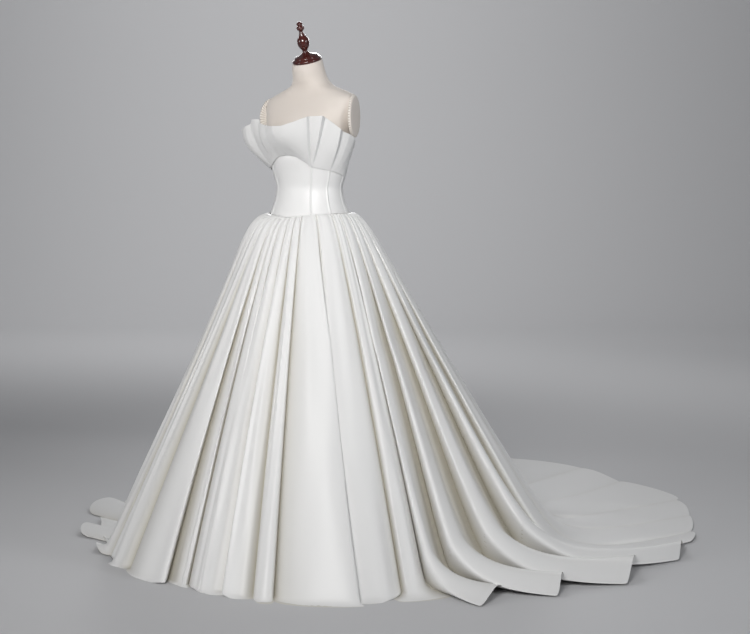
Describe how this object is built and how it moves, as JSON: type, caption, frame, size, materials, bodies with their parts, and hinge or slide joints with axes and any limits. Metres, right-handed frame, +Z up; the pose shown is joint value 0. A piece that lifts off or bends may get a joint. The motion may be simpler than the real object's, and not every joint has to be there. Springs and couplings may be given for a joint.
{
  "type": "wedding dress on a dress form",
  "caption": "Strapless satin ball gown with a folded bust fan, a gathered fluted skirt and a chapel train, worn by a limbless dress form on a round base.",
  "frame": {"origin": "on the floor at the centre of the underside of the form's round base", "axes": "+Z up, the dress faces -Y, its train lies towards +Y, the wearer's left is +X"},
  "size_m": [2.0869, 2.3639, 1.6726],
  "materials": {
    "satin": "ivory white mikado satin, soft sheen",
    "jersey": "cream cotton jersey, matt",
    "mahogany": "turned and polished dark red wood",
    "stand": "black painted steel"
  },
  "bodies": {
    "root": {"back_button_1": "satin", "back_button_2": "satin", "back_button_3": "satin", "back_button_4": "satin", "back_button_5": "satin", "back_button_6": "satin", "back_button_7": "satin", "back_button_8": "satin", "back_button_9": "satin", "bodice_back_left": "satin", "bodice_back_right": "satin", "bodice_front": "satin", "bodice_side_back_left": "satin", "bodice_side_back_right": "satin", "bodice_side_front_left": "satin", "bodice_side_front_right": "satin", "bodice_side_left": "satin", "bodice_side_right": "satin", "bust_fold_front": "satin", "bust_fold_left": "satin", "bust_fold_right": "satin", "form_arm_plate_left": "jersey", "form_arm_plate_right": "jersey", "form_base": "stand", "form_neck_cap": "mahogany", "form_pole": "stand", "form_torso": "jersey", "skirt_front": "satin", "skirt_side_back_left": "satin", "skirt_side_back_right": "satin", "skirt_side_front_left": "satin", "skirt_side_front_right": "satin", "skirt_train_left": "satin", "skirt_train_right": "satin"}
  },
  "joints": []
}
